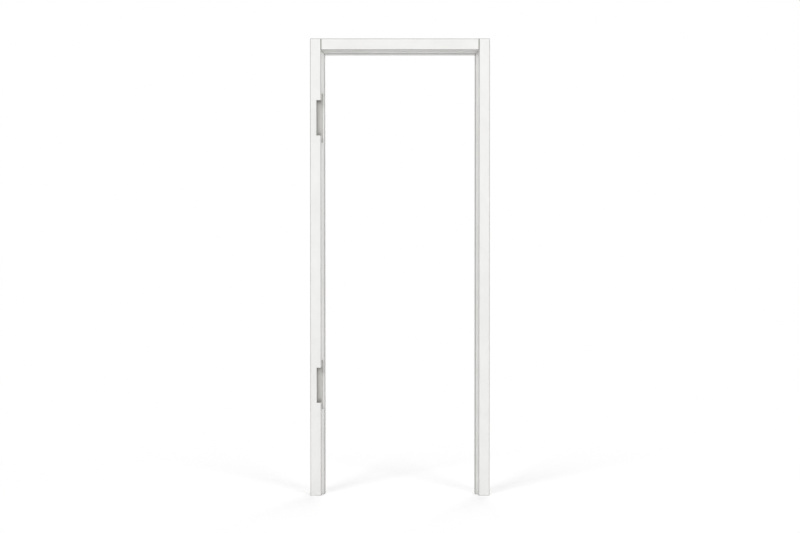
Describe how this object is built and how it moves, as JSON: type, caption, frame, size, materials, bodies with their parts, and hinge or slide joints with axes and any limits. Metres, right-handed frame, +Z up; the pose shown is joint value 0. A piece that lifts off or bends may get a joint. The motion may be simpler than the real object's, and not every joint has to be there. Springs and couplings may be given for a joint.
{
  "type": "door frame",
  "caption": "White painted timber door frame with planted stops, milled hinge pockets and plate slots in the hinge side, and no door leaf.",
  "frame": {"origin": "at floor level on the wall side of the hinge jamb, halfway through the wall", "axes": "+X from the hinge jamb to the lock jamb, +Y from the door side to the far side, +Z up"},
  "size_m": [0.83, 0.138, 2.115],
  "materials": {
    "white_painted_timber": "matt white paint",
    "plated_steel": "plated assembly screws"
  },
  "bodies": {
    "root": {"hinge_jamb": "white_painted_timber", "lock_jamb": "white_painted_timber", "head": "white_painted_timber", "hinge_side_stop": "white_painted_timber", "lock_side_stop": "white_painted_timber", "head_stop": "white_painted_timber"}
  },
  "joints": []
}
